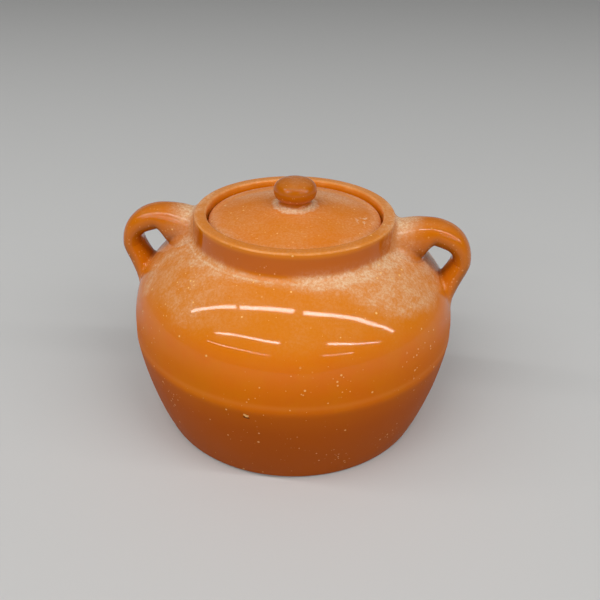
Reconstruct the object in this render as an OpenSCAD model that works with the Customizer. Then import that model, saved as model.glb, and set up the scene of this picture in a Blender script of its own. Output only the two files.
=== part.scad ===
// Stoneware bean pot with a loose lid and two pulled loop handles.
// The jar is a thrown or jiggered shell. Each handle is a strap of clay, pulled
// to a taper, bent into an ear and luted on at the collar and at the belly. The
// lid drops onto a ledge inside the mouth, and its knob is luted on top.
// Millimetres, +Z up, origin on the table at the centre of the foot, with the
// handles along X.

/* [Jar] */
// Height from the table to the top of the rim
pot_h = 158; // [145:1:180]
// Largest diameter, over the soft ring that runs round the belly
belly_d = 236; // [222:1:260]
// Height of that ring above the table
ring_h = 71; // [60:1:78]
// Upright band of wall above the ring
band_h = 7; // [3:0.5:12]
// How far the wall steps in over that band
band_lean = 0.3; // [0:0.1:1]
// Diameter of the foot
foot_d = 202; // [180:1:212]
// How far the lower wall bows out from a straight line
lower_bow = 2.4; // [0.5:0.1:4]
// Radius of the slow curve above the band, in the profile
belly_r = 80; // [65:1:100]
// How far the slow curve turns, in degrees, before the shoulder takes over
belly_turn = 17; // [10:1:24]
// Radius of the tighter curve at the shoulder
shoulder_r = 38; // [28:1:44]
// How far the shoulder's slow crown turns, in degrees, on its way to the collar
crown_turn = 20; // [6:1:26]
// Thickness of the wall
wall_t = 8; // [5:0.5:10]
// Thickness of the floor
floor_t = 9; // [6:0.5:14]
// Radius between the wall and the floor, inside
floor_round = 14; // [6:1:20]

/* [Foot] */
// Rounding of the outer edge of the foot
foot_round = 3; // [1:0.5:5]
// Width of the ring that the pot stands on
foot_ring_w = 9; // [5:0.5:16]
// Depth of the hollow inside that ring
foot_hollow = 1.6; // [0.5:0.1:3]

/* [Mouth] */
// Outer diameter of the collar
collar_d = 144; // [130:1:154]
// Height of the collar, from the corner with the shoulder to the rim
collar_h = 15.5; // [11:0.5:22]
// Radius in the corner between collar and shoulder
collar_fillet = 8; // [3:0.5:12]
// Width of the rim, from the collar to the inside of the mouth
rim_w = 9.7; // [8:0.1:12]
// Rounding of the rim's outer edge
rim_round = 4.5; // [2:0.5:5]
// Rounding of the rim's inner edge
rim_round_in = 3.2; // [1:0.1:3.5]
// Depth of the lid's ledge below the rim
ledge_depth = 11; // [9:0.5:14]
// Width of the ledge
ledge_w = 8.3; // [6:0.1:12]
// Thickness of the ledge
ledge_t = 7; // [5:0.5:9]
// Rounding of the ledge's lower edge, inside the throat
ledge_round = 3; // [1:0.5:3]

/* [Lid] */
// Gap all round between the lid and the mouth
lid_gap = 1; // [0.5:0.1:2]
// Thickness of the lid at its edge
lid_edge_t = 6; // [5:0.5:9]
// Rounding of the lid's edges
lid_round = 1.8; // [0.5:0.1:2.4]
// Rise of the lid's dome above its edge
lid_rise = 10.8; // [6:0.2:18]
// Thickness of the dome
lid_t = 6.5; // [4:0.5:8]
// Gap all round between the locating ring and the throat
lid_ring_gap = 1.2; // [0.5:0.1:2.5]
// Depth of the locating ring below the ledge
lid_ring_h = 5; // [3:0.5:8]
// Width of the locating ring
lid_ring_w = 5.5; // [4:0.5:8]

/* [Knob] */
// Diameter of the knob
knob_d = 30; // [22:1:40]
// Height of the knob above the lid
knob_h = 19; // [14:0.5:26]
// Diameter of the short neck under the knob
knob_neck_d = 23; // [16:1:24]
// Height from the lid to the middle of the knob's ball
knob_mid_h = 9.8; // [8:0.2:12]

/* [Handles] */
// How far each handle's outermost bend stands out beyond the belly
handle_proud = 8.5; // [4:0.5:26]
// Width of the strap
handle_w = 26; // [18:1:36]
// Thickness of the strap at its outermost bend
handle_t = 13.5; // [9:0.5:17]
// Thickness of the strap at its crown
handle_crown_t = 17.5; // [11:0.5:19]
// How much wider the strap's two roots are than the strap
handle_flare = 8; // [0:0.5:14]
// Thickness of the upper root, at the collar
handle_root_t = 28; // [20:0.5:30]
// Thickness of the lower root, where the strap dies into the belly
handle_foot_t = 15; // [12:0.5:20]
// Distance from the rim down to the top of the upper root
handle_root_drop = 7; // [5:0.5:9]
// Distance from the rim down to the outermost bend
handle_bend_drop = 29.5; // [26:0.5:36]
// Distance from the rim down to the lower end of the strap
handle_foot_drop = 70; // [60:1:74]
// How strongly the strap is pulled up from its upper root
handle_arch = 15; // [8:0.5:18]
// Height above the bend from which the strap turns over
handle_corner = 29; // [18:0.5:30]

/* [Hidden] */
$fn = 128;

glaze = "#c8702e";
glaze_deep = "#b45a14";

// Points on each long stretch of a revolved outline, and on a rounded edge
arc_steps = 10;
edge_steps = 5;
// Rings along a handle, and sides of its cross-section
handle_rings = 36;
handle_sides = 24;
// Fullness of the strap's section: 2 is an ellipse, more is squarer
strap_power = 2.3;
// Places along a strap count from 0 at the collar through 1 at the bend to 2 at
// the belly. The section changes between these pairs of places.
root_thins = [0.3, 0.46];
crown_thins = [0.5, 1];
foot_thickens = [1.2, 1.7];
root_narrows = [0, 0.5];
foot_widens = [1.35, 2];
// Where the curve's two control points lie, as shares of its reach and its fall
root_pull = 0.46;
bend_pull = 0.2;
foot_pull = [-0.1, 0.4];
// How deep the handle's upper root starts inside the collar's wall
root_sink = 8;
// How deep the strap's outer face ends inside the belly's wall
foot_sink = 0.8;

foot_r = foot_d / 2;
ring_r = belly_d / 2;
collar_r = collar_d / 2;
collar_z = pot_h - collar_h;
mouth_r = collar_r - rim_w;
throat_r = mouth_r - ledge_w;
ledge_z = pot_h - ledge_depth;
roof_z = ledge_z - ledge_t;

// ---- Outlines ----------------------------------------------------------

// Points on an arc round [x, z] from angle a to angle b
function arc(center, r, a, b, steps = arc_steps) =
    [for (i = [0:steps]) center + r * [cos(a + (b - a) * i / steps), sin(a + (b - a) * i / steps)]];

// Points from a to b on a parabola that stands out from the chord by bow
function bowed(a, b, bow, steps = arc_steps) =
    let (side = [b[1] - a[1], a[0] - b[0]] / norm(b - a))
    [for (i = [0:steps]) let (t = i / steps) a + (b - a) * t + side * bow * 4 * t * (1 - t)];

// Move each point of an open outline inwards by t, square to its neighbours
function inset(pts, t) =
    [for (i = [0:len(pts) - 1])
        let (
            ahead = pts[min(i + 1, len(pts) - 1)],
            behind = pts[max(i - 1, 0)],
            along = (ahead - behind) / norm(ahead - behind)
        )
        pts[i] + t * [-along[1], along[0]]];

// The slow curve starts upright, at the top of the band
slow_start = [ring_r - band_lean, ring_h + band_h];
slow_center = slow_start - [belly_r, 0];
turn_center = slow_center + (belly_r - shoulder_r) * [cos(belly_turn), sin(belly_turn)];

// The shoulder's crown leaves the tighter curve with the same tangent and reaches
// the collar at the corner. Its chord makes an angle of half its turn with that
// tangent, and so a triangle with the tighter curve's radius and the distance from
// that curve's centre to the corner.
to_corner = [collar_r, collar_z] - turn_center;
half_turn = crown_turn / 2;
crown_chord = shoulder_r * sin(half_turn)
    + sqrt(to_corner * to_corner - pow(shoulder_r * cos(half_turn), 2));
crown_r = crown_chord / (2 * sin(half_turn));
shoulder_angle = atan2(to_corner[1], to_corner[0])
    - atan2(crown_chord * cos(half_turn), shoulder_r - crown_chord * sin(half_turn));
crown_center = turn_center - (crown_r - shoulder_r) * [cos(shoulder_angle), sin(shoulder_angle)];

// The fillet in that corner touches both the crown and the collar
fillet_x = collar_r + collar_fillet;
fillet_center = [
    fillet_x,
    crown_center[1] + sqrt(pow(crown_r + collar_fillet, 2) - pow(fillet_x - crown_center[0], 2))
];
to_fillet = fillet_center - crown_center;
crown_stop = atan2(to_fillet[1], to_fillet[0]);

// The foot's rounding ends square to the lower wall
wall_start_angle = -atan((ring_r - foot_r) / ring_h + 4 * lower_bow / ring_h);
foot_edge = arc([foot_r - foot_round, foot_round], foot_round, -90, wall_start_angle, edge_steps);
wall_start = foot_edge[len(foot_edge) - 1];

// Side of the jar from the foot's rounding up to the collar. Where two stretches
// meet, their shared point is kept once.
stretches = concat(
    bowed(wall_start, [ring_r, ring_h], lower_bow),
    arc(slow_center, belly_r, 0, belly_turn),
    arc(turn_center, shoulder_r, belly_turn, shoulder_angle),
    arc(crown_center, crown_r, shoulder_angle, crown_stop),
    arc(fillet_center, collar_fillet, crown_stop + 180, 180)
);
same_point = 0.01;
outer_wall = [for (i = [0:len(stretches) - 1])
    if (i == 0 || norm(stretches[i] - stretches[max(i - 1, 0)]) > same_point) stretches[i]];

// The whole outside, from the edge of the foot to the top of the rim
outside = concat(
    foot_edge,
    [for (i = [1:len(outer_wall) - 1]) outer_wall[i]],
    arc([collar_r - rim_round, pot_h - rim_round], rim_round, 0, 90, edge_steps)
);
rim_in = arc([mouth_r + rim_round_in, pot_h - rim_round_in], rim_round_in, 90, 180, edge_steps);

// Radius of the outside at height z
wall_table = [for (p = outer_wall) [p[1], p[0]]];
function outer_r_at(z) = lookup(z, wall_table);

// Inside of the jar, from the floor's corner to the underside of the ledge
inner_wall = inset(outer_wall, wall_t);
inner_table = [for (p = inner_wall) [p[1], p[0]]];
function inner_r_at(z) = lookup(z, inner_table);
corner_z = floor_t + floor_round;
cavity_side = [for (p = inner_wall) if (p[1] > corner_z && p[1] < roof_z) p];

// ---- Jar ---------------------------------------------------------------

module outer_solid() {
    rotate_extrude()
        polygon(concat([[0, 0]], outside, [[0, pot_h]]));
}

module pot_body() {
    hollow_r = foot_r - foot_round - foot_ring_w;
    underside = [[0, foot_hollow], [hollow_r - foot_hollow, foot_hollow], [hollow_r, 0]];
    mouth = concat(
        rim_in,
        [[mouth_r, ledge_z], [throat_r, ledge_z]],
        arc([throat_r + ledge_round, roof_z + ledge_round], ledge_round, 180, 270, edge_steps)
    );
    cavity = concat(
        [[inner_r_at(roof_z), roof_z]],
        [for (i = [len(cavity_side) - 1:-1:0]) cavity_side[i]],
        arc([inner_r_at(corner_z) - floor_round, corner_z], floor_round, 0, -90),
        [[0, floor_t]]
    );
    color(glaze) rotate_extrude() polygon(concat(underside, outside, mouth, cavity));
}

// ---- Handles -----------------------------------------------------------

function bezier(p, t) =
    pow(1 - t, 3) * p[0] + 3 * pow(1 - t, 2) * t * p[1] + 3 * (1 - t) * t * t * p[2] + t * t * t * p[3];

root_p = [collar_r - root_sink, pot_h - handle_root_drop];
bend_p = [ring_r + handle_proud, pot_h - handle_bend_drop];
foot_z = pot_h - handle_foot_drop;
foot_p = [outer_r_at(foot_z) - foot_sink, foot_z];
reach = bend_p[0] - root_p[0];
fall = bend_p[1] - foot_p[1];

// The strap's outer face rises from the collar, turns over the bend and runs
// down into the belly
upper_curve = [
    root_p,
    root_p + [root_pull * reach, handle_arch],
    bend_p + [0, handle_corner],
    bend_p
];
lower_curve = [
    bend_p,
    bend_p - [0, bend_pull * fall],
    foot_p + [foot_pull[0] * (bend_p[0] - foot_p[0]), foot_pull[1] * fall],
    foot_p
];

// Outer face of the strap at s, from 0 at the collar through 1 at the bend to 2
function strap_at(s) = s <= 1 ? bezier(upper_curve, s) : bezier(lower_curve, s - 1);

// Smooth change from 0 to 1 as s goes over a span of places
function ease(span, s) =
    let (t = min(1, max(0, (s - span[0]) / (span[1] - span[0])))) t * t * (3 - 2 * t);

function strap_t(s) =
    handle_t
    + (handle_root_t - handle_crown_t) * (1 - ease(root_thins, s))
    + (handle_crown_t - handle_t) * (1 - ease(crown_thins, s))
    + (handle_foot_t - handle_t) * ease(foot_thickens, s);
function strap_w(s) =
    handle_w + handle_flare * (1 - ease(root_narrows, s)) + handle_flare * ease(foot_widens, s);

// Point j round the strap's section at s: a full oval, square to the strap
function strap_point(s, j) =
    let (
        step = 0.01,
        ahead = strap_at(min(2, s + step)) - strap_at(max(0, s - step)),
        normal = [-ahead[1], ahead[0]] / norm(ahead),
        a = 360 * j / handle_sides,
        up = (sign(cos(a)) * pow(abs(cos(a)), 2 / strap_power) - 1) * strap_t(s) / 2,
        across = sign(sin(a)) * pow(abs(sin(a)), 2 / strap_power) * strap_w(s) / 2,
        middle = strap_at(s) + up * normal
    )
    [middle[0], across, middle[1]];

module strap() {
    last = handle_rings - 1;
    points = [for (i = [0:last], j = [0:handle_sides - 1]) strap_point(2 * i / last, j)];
    sides = [for (i = [0:last - 1], j = [0:handle_sides - 1])
        let (
            a = i * handle_sides + j,
            b = i * handle_sides + (j + 1) % handle_sides
        )
        each [[a, b, b + handle_sides], [a, b + handle_sides, a + handle_sides]]];
    caps = [
        [for (j = [handle_sides - 1:-1:0]) j],
        [for (j = [0:handle_sides - 1]) last * handle_sides + j]
    ];
    polyhedron(points, concat(sides, caps));
}

module handle() {
    color(glaze_deep) difference() {
        strap();
        outer_solid();
    }
}

module right_handle() {
    handle();
}

module left_handle() {
    mirror([1, 0, 0]) handle();
}

// ---- Lid ---------------------------------------------------------------

lid_r = mouth_r - lid_gap;
lid_top_z = ledge_z + lid_edge_t;
lid_ring_r = throat_r - lid_ring_gap;
lid_hollow_r = lid_ring_r - lid_ring_w;
knob_neck_r = knob_neck_d / 2;

// Height of the top of the dome at radius r
function dome_z(r) = lid_top_z + lid_rise * (1 - pow(r / (lid_r - lid_round), 2));
knob_z = dome_z(knob_neck_r);

module lid_disc() {
    edge_in = lid_r - lid_round;
    ring_z = ledge_z - lid_ring_h;
    under = [for (i = [0:arc_steps])
        let (r = lid_hollow_r * i / arc_steps)
        [r, min(knob_z, dome_z(r)) - lid_t]];
    ring = concat(
        arc([lid_hollow_r + lid_round, ring_z + lid_round], lid_round, 180, 270, edge_steps),
        arc([lid_ring_r - lid_round, ring_z + lid_round], lid_round, -90, 0, edge_steps),
        [[lid_ring_r, ledge_z]]
    );
    edge = concat(
        arc([edge_in, ledge_z + lid_round], lid_round, -90, 0, edge_steps),
        arc([edge_in, lid_top_z - lid_round], lid_round, 0, 90, edge_steps)
    );
    dome = [for (i = [1:2 * arc_steps])
        let (r = edge_in + (knob_neck_r - edge_in) * i / (2 * arc_steps))
        [r, dome_z(r)]];
    color(glaze) rotate_extrude() polygon(concat(under, ring, edge, dome, [[0, knob_z]]));
}

module lid_knob() {
    knob_r = knob_d / 2;
    ball_top = knob_h - knob_mid_h;
    neck_angle = -acos(knob_neck_r / knob_r);
    ball = [for (i = [0:2 * arc_steps])
        let (a = neck_angle + (90 - neck_angle) * i / (2 * arc_steps))
        [knob_r * cos(a), knob_z + knob_mid_h + ball_top * sin(a)]];
    color(glaze_deep) rotate_extrude() polygon(concat([[0, knob_z], [knob_neck_r, knob_z]], ball));
}

pot_body();
left_handle();
right_handle();
lid_disc();
lid_knob();
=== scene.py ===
"""Looks of a glazed stoneware bean pot: the jar, two pulled loop handles, the lid and its knob.

Every shape is a grid of points worked out with numpy, in metres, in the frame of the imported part.
The jar, the lid and the knob are outlines turned round the Z axis. Each handle is an oval carried
along a bent path, and its two roots run out over the jar in a fillet of smoothed clay.
"""
import math

import bpy
import numpy as np
from mathutils import Matrix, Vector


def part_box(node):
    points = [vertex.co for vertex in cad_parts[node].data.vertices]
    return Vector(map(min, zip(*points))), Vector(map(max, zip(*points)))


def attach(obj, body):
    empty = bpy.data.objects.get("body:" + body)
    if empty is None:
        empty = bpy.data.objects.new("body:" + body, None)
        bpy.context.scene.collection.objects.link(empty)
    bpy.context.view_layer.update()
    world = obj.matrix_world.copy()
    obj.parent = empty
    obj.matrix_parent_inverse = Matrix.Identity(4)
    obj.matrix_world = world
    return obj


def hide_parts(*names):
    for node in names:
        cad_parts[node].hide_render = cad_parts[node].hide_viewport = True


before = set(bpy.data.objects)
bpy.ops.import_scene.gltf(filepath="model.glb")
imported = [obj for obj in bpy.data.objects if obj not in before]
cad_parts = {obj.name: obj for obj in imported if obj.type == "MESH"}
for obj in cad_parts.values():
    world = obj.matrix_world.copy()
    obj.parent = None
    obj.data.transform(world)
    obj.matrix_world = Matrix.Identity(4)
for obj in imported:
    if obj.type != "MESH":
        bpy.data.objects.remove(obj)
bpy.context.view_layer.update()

MM = 0.001

# ---- Sizes ----
# Overall sizes come from the frame, and the rest are the part's own sizes, in metres.
POT_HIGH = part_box("pot_body")[1]
LID_LOW, LID_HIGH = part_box("lid_disc")
KNOB_LOW, KNOB_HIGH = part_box("lid_knob")
HANDLE_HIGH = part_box("right_handle")[1]
POT_H = POT_HIGH.z
BELLY_R = POT_HIGH.x
LID_R = LID_HIGH.x
KNOB_R = KNOB_HIGH.x
KNOB_Z = KNOB_LOW.z
HANDLE_REACH = HANDLE_HIGH.x

# Jar: the ring and its band, the bowed lower wall, the shoulder's arcs, its thickness and its foot
RING_H = 71 * MM
BAND_H = 7 * MM
BAND_LEAN = 0.3 * MM
FOOT_R = 101 * MM
LOWER_BOW = 2.4 * MM
SLOW_R = 80 * MM
SLOW_TURN = math.radians(17)
SHOULDER_R = 38 * MM
CROWN_R = 95 * MM
WALL = 8 * MM
FLOOR = 9 * MM
FLOOR_ROUND = 14 * MM
FOOT_ROUND = 3 * MM
FOOT_RING_W = 9 * MM
FOOT_HOLLOW = 1.6 * MM

# Collar, rim and ledge. The rim stands RIM_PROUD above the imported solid's and leans in by RIM_LEAN,
# and the mouth falls by the share MOUTH_TIP towards the back.
COLLAR_R = 72 * MM
COLLAR_H = 15.5 * MM
COLLAR_FILLET = 5.5 * MM
RIM_W = 9.7 * MM
RIM_PROUD = 1.1 * MM
RIM_TOP = POT_H + RIM_PROUD
RIM_ROUND = 1.8 * MM
RIM_ROUND_IN = 1.8 * MM
RIM_LEAN = 1.0 * MM
MOUTH_TIP = 0.0148
LEDGE_DEPTH = 11 * MM
LEDGE_W = 8.3 * MM
LEDGE_T = 7 * MM
THROAT_ROUND = 3 * MM
MOUTH_R = COLLAR_R - RIM_W
THROAT_R = MOUTH_R - LEDGE_W
LEDGE_Z = RIM_TOP - LEDGE_DEPTH

# Lid: its edge, its dome, and the ring under it with its clearance in the throat
LID_EDGE_T = 6 * MM
LID_ROUND = 1.8 * MM
LID_RISE = 9.7 * MM
LID_T = 6.5 * MM
LID_CLEARANCE = 1.2 * MM
LID_RING_R = THROAT_R - LID_CLEARANCE
LID_RING_W = 5.5 * MM

# Knob: its neck, the height of its widest place, the fullness of its top, the fillet at its foot,
# and how far that fillet and the knob's underside are sunk into the lid
KNOB_NECK_R = 11.5 * MM
KNOB_MID_H = 9.8 * MM
KNOB_POWER = 2.6
KNOB_SKIRT = 2.6 * MM
KNOB_SKIRT_SUNK = 0.3 * MM
KNOB_SUNK = 1.5 * MM

# Handles: the strap's width and thickness, and its thickness at the root, the crown and the foot
STRAP_W = 26 * MM
STRAP_T = 13.5 * MM
CROWN_T = 17.5 * MM
ROOT_T = 28 * MM
FOOT_T = 15 * MM
STRAP_FLARE = 8 * MM
STRAP_POWER = 2.3
# Places along a strap count from 0 at the collar through 1 at the bend to 2 at the belly. The
# section changes between these pairs of places.
ROOT_THINS = (0.3, 0.46)
CROWN_THINS = (0.5, 1.0)
FOOT_THICKENS = (1.2, 1.7)
ROOT_NARROWS = (0.0, 0.5)
FOOT_WIDENS = (1.35, 2.0)
# Where its two curves start, meet and end, and how they are pulled between
ROOT_DROP = 7 * MM
BEND_DROP = 29.5 * MM
FOOT_DROP = 70 * MM
ROOT_SINK = 8 * MM
FOOT_SINK = 0.8 * MM
ARCH = 15 * MM
CORNER = 29 * MM
ROOT_PULL = 0.46
BEND_PULL = 0.2
FOOT_PULL = (-0.1, 0.4)

# How far a handle's fillet reaches along the strap and over the jar, each at the strap's top, at
# its sides and at its underside
ROOT_ON_STRAP = (7 * MM, 7 * MM, 3 * MM)
ROOT_ON_JAR = (5 * MM, 8 * MM, 3 * MM)
FOOT_ON_STRAP = (7 * MM, 5 * MM, 3 * MM)
FOOT_ON_JAR = (4 * MM, 4 * MM, 3 * MM)
FILLET_PULL = 0.62
# Rows past the fillet: how far on over the jar, and how deep under its skin
TAILS = [(0.5 * MM, 0.03 * MM), (1.2 * MM, 0.15 * MM), (2.0 * MM, 0.5 * MM)]
ANCHOR_DEPTH = 2.5 * MM

# How fine the grids are
JAR_COLUMNS = 300
LID_COLUMNS = 220
KNOB_COLUMNS = 120
HANDLE_COLUMNS = 112
HANDLE_ROWS = 120
FILLET_ROWS = 16
STRAP_SPAN = (-0.15, 1.995)
STRAP_SAMPLES = 540
OUTLINE_GAP = 2 * MM


# ---- Outlines in the (r, z) plane ----
def unit(v):
    """Each vector made one long."""
    return v / np.linalg.norm(v, axis=-1, keepdims=True)


def arc(center, radius, start, stop, steps=24):
    """Points center + radius * (cos a, sin a), with a going evenly from start to stop, in radians."""
    a = np.linspace(start, stop, steps + 1)[:, None]
    return np.asarray(center) + radius * np.hstack([np.cos(a), np.sin(a)])


def bowed(a, b, bow, steps=60):
    """The chord from a to b plus bow * 4t(1 - t) along the chord's right-hand normal."""
    a, b = np.asarray(a), np.asarray(b)
    t = np.linspace(0, 1, steps + 1)[:, None]
    chord = b - a
    side = np.array([chord[1], -chord[0]]) / np.linalg.norm(chord)
    return a + chord * t + side * bow * 4 * t * (1 - t)


def spaced(points, gap):
    """The same line with its points at equal steps of about gap along it."""
    steps = np.linalg.norm(np.diff(points, axis=0), axis=1)
    keep = np.concatenate([[True], steps > 1e-9])
    points = points[keep]
    along = np.concatenate([[0], np.cumsum(np.linalg.norm(np.diff(points, axis=0), axis=1))])
    at = np.linspace(0, along[-1], max(2, int(round(along[-1] / gap)) + 1))
    return np.stack([np.interp(at, along, points[:, 0]), np.interp(at, along, points[:, 1])], 1)


def softened(points, gap, spread):
    """The line resampled at gap, each point the Gaussian average of its neighbours over spread.
    The ends stay where they are: the line is carried on past each of them by a point reflection."""
    line = spaced(points, gap)
    n = int(math.ceil(3 * spread / gap))
    weight = np.exp(-0.5 * (np.arange(-n, n + 1) * gap / spread) ** 2)
    weight /= weight.sum()
    before = 2 * line[0] - line[n:0:-1]
    after = 2 * line[-1] - line[-2:-n - 2:-1]
    longer = np.concatenate([before, line, after])
    return np.stack([np.convolve(longer[:, k], weight, "valid") for k in (0, 1)], 1)


def jar_side():
    """Outside of the jar from the foot's rounding to the collar: a bowed lower wall, a band, a slow
    arc, a tighter arc, a slow crown that carries on from it to the collar's corner, and a fillet.
    The crown's radius R, the tighter arc's r and the distance v from its centre to the corner give
    the crown's start: the cosine of its angle from v is (R^2 - (R - r)^2 - v^2) / (2 (R - r) v)."""
    slope = math.atan((BELLY_R - FOOT_R) / RING_H + 4 * LOWER_BOW / RING_H)
    edge = arc([FOOT_R - FOOT_ROUND, FOOT_ROUND], FOOT_ROUND, -math.pi / 2, -slope, 10)
    slow_center = np.array([BELLY_R - BAND_LEAN - SLOW_R, RING_H + BAND_H])
    toward = np.array([math.cos(SLOW_TURN), math.sin(SLOW_TURN)])
    turn_center = slow_center + (SLOW_R - SHOULDER_R) * toward
    reach = np.array([COLLAR_R, POT_H - COLLAR_H]) - turn_center
    less, far = CROWN_R - SHOULDER_R, np.linalg.norm(reach)
    cosine = (CROWN_R ** 2 - less ** 2 - far ** 2) / (2 * less * far)
    start = math.atan2(reach[1], reach[0]) - math.acos(cosine)
    crown_center = turn_center - less * np.array([math.cos(start), math.sin(start)])
    fillet_x = COLLAR_R + COLLAR_FILLET - crown_center[0]
    fillet_z = math.sqrt((CROWN_R + COLLAR_FILLET) ** 2 - fillet_x ** 2)
    stop = math.atan2(fillet_z, fillet_x)
    return np.concatenate([
        edge,
        bowed(edge[-1], [BELLY_R, RING_H], LOWER_BOW),
        arc(slow_center, SLOW_R, 0, SLOW_TURN),
        arc(turn_center, SHOULDER_R, SLOW_TURN, start),
        arc(crown_center, CROWN_R, start, stop, 60),
        arc(crown_center + [fillet_x, fillet_z], COLLAR_FILLET, stop + math.pi, math.pi),
    ])


def jar_outside():
    """The jar's side, then a quarter circle over the outer edge of the rim."""
    rim = arc([COLLAR_R - RIM_LEAN - RIM_ROUND, RIM_TOP - RIM_ROUND], RIM_ROUND, 0, math.pi / 2, 10)
    return np.concatenate([jar_side(), rim])


def inset(points, depth):
    """Each point moved to the left of the line's direction by depth."""
    along = unit(np.gradient(points, axis=0))
    return points + depth * np.stack([-along[:, 1], along[:, 0]], 1)


def jar_outline():
    """The whole section of the jar, from the middle of its underside round to the inside floor."""
    hollow_r = FOOT_R - FOOT_ROUND - FOOT_RING_W
    under = np.array([[0, FOOT_HOLLOW], [hollow_r - 2 * FOOT_HOLLOW, FOOT_HOLLOW], [hollow_r, 0]])
    inner_rim = arc([MOUTH_R + RIM_ROUND_IN, RIM_TOP - RIM_ROUND_IN], RIM_ROUND_IN,
                    math.pi / 2, math.pi, 8)
    roof = LEDGE_Z - LEDGE_T
    ledge = np.concatenate([
        [[MOUTH_R, LEDGE_Z], [THROAT_R, LEDGE_Z]],
        arc([THROAT_R + THROAT_ROUND, roof + THROAT_ROUND], THROAT_ROUND, math.pi, 1.5 * math.pi, 8),
    ])
    inner = inset(spaced(jar_side(), OUTLINE_GAP), WALL)
    floor_top = FLOOR + FLOOR_ROUND
    inner = inner[(inner[:, 1] < roof) & (inner[:, 1] > floor_top)][::-1]
    floor_edge = arc([inner[-1][0] - FLOOR_ROUND, floor_top], FLOOR_ROUND, 0, -math.pi / 2, 12)
    return np.concatenate([
        spaced(under, OUTLINE_GAP), jar_outside(), inner_rim, ledge, inner, floor_edge, [[0, FLOOR]],
    ])


def thin_out(line, flat_gap, tight_gap, bend=0.09, reach=4):
    """Fewer points where the line runs straight: each gap turns by about bend radians, and stays
    between tight_gap and flat_gap. The turning is averaged over reach points to either side."""
    along = np.gradient(line, axis=0)
    length = np.linalg.norm(along, axis=1)
    turn = np.abs(np.gradient(np.unwrap(np.arctan2(along[:, 1], along[:, 0])))) / length
    window = np.ones(2 * reach + 1) / (2 * reach + 1)
    turn = np.convolve(np.pad(turn, reach, "edge"), window, "valid")
    gap = np.clip(bend / np.maximum(turn, 1e-6), tight_gap, flat_gap)
    count = np.concatenate([[0], np.cumsum(length[1:] / gap[1:])])
    at = np.linspace(0, count[-1], int(count[-1]) + 1)
    return np.stack([np.interp(at, count, line[:, 0]), np.interp(at, count, line[:, 1])], 1)


def finished(outline, gap, spread, flat_gap, tight_gap):
    """The outline softened and thinned out, with both its ends on the axis."""
    outline = softened(outline, gap, spread)
    outline[0][0] = outline[-1][0] = 0
    return thin_out(outline, flat_gap, tight_gap)


# ---- Grids to meshes ----
def closed_grid(name, first, rings, last):
    """A closed skin: a pole, rings of points that join round on themselves, and a second pole.
    rings has the shape (ring, point, 3)."""
    rows, columns = rings.shape[:2]
    points = np.concatenate([[first], rings.reshape(-1, 3), [last]])
    ring = 1 + np.arange(rows)[:, None] * columns
    here = np.arange(columns)[None, :]
    after = (here + 1) % columns
    quads = np.stack([
        ring[:-1] + here, ring[:-1] + after, ring[1:] + after, ring[1:] + here,
    ], -1).reshape(-1, 4)
    low = np.stack([np.zeros(columns, int), 1 + after[0], 1 + here[0]], -1)
    top = 1 + (rows - 1) * columns
    end = np.full(columns, 1 + rows * columns)
    high = np.stack([end, top + here[0], top + after[0]], -1)
    triangles = np.concatenate([low, high])
    if volume(points, quads, triangles) < 0:
        quads, triangles = quads[:, ::-1], triangles[:, ::-1]
    return put_mesh(name, points, quads, triangles)


def volume(points, quads, triangles):
    """Signed volume: a sixth of the sum of each triangle's corners' triple product."""
    faces = np.concatenate([quads[:, :3], quads[:, [0, 2, 3]], triangles])
    a, b, c = (points[faces[:, k]] for k in range(3))
    return float(np.einsum("ij,ij->i", a, np.cross(b, c)).sum() / 6)


def put_mesh(name, points, quads, triangles):
    """Points and faces put into a new object at the origin, shaded smooth."""
    mesh = bpy.data.meshes.new(name)
    corners = np.concatenate([quads.ravel(), triangles.ravel()]).astype(np.int32)
    sizes = np.concatenate([np.full(len(quads), 4), np.full(len(triangles), 3)])
    starts = np.concatenate([[0], np.cumsum(sizes)[:-1]]).astype(np.int32)
    mesh.vertices.add(len(points))
    mesh.vertices.foreach_set("co", points.astype(np.float32).ravel())
    mesh.loops.add(len(corners))
    mesh.loops.foreach_set("vertex_index", corners)
    mesh.polygons.add(len(sizes))
    mesh.polygons.foreach_set("loop_start", starts)
    mesh.update(calc_edges=True)
    mesh.validate()
    mesh.shade_smooth()
    piece = bpy.data.objects.new(name, mesh)
    bpy.context.scene.collection.objects.link(piece)
    return piece


def smoothstep(low, high, x):
    """0 below low, 1 above high, and 3t^2 - 2t^3 between them."""
    t = np.clip((x - low) / (high - low), 0, 1)
    return t * t * (3 - 2 * t)


def tipped(points):
    """The mouth is not quite level: z less MOUTH_TIP times y, wholly from 8 mm below POT_H upwards
    and not at all from 20 mm below it downwards."""
    sunk = MOUTH_TIP * points[..., 1] * smoothstep(POT_H - 20 * MM, POT_H - 8 * MM, points[..., 2])
    return points - sunk[..., None] * np.array([0, 0, 1])


def waves(azimuth, height, rows):
    """Sum of sines: each row is (size, turns round the pot, waves per metre of height, phase)."""
    total = np.zeros(np.broadcast(azimuth, height).shape)
    for size, turns, per_metre, phase in rows:
        total += size * np.sin(turns * azimuth + 2 * math.pi * per_metre * height + phase)
    return total


# Hand-made unevenness of the jar's wall: broad lumps, then the faint ridges left by throwing
JAR_WAVES = [
    (0.22 * MM, 2, 3.0, 0.6), (0.16 * MM, 3, -5.0, 2.1), (0.10 * MM, 5, 9.0, 4.0),
    (0.06 * MM, 7, -14.0, 1.2), (0.04 * MM, 11, 21.0, 5.1), (0.008 * MM, 1, 88.0, 0.3),
    (0.008 * MM, -1, 131.0, 2.7), (0.012 * MM, 17, 37.0, 3.3),
]
LID_WAVES = [
    (0.10 * MM, 2, 0.0, 1.0), (0.06 * MM, 5, 30.0, 2.0), (0.03 * MM, 9, 60.0, 0.4),
]


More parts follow.
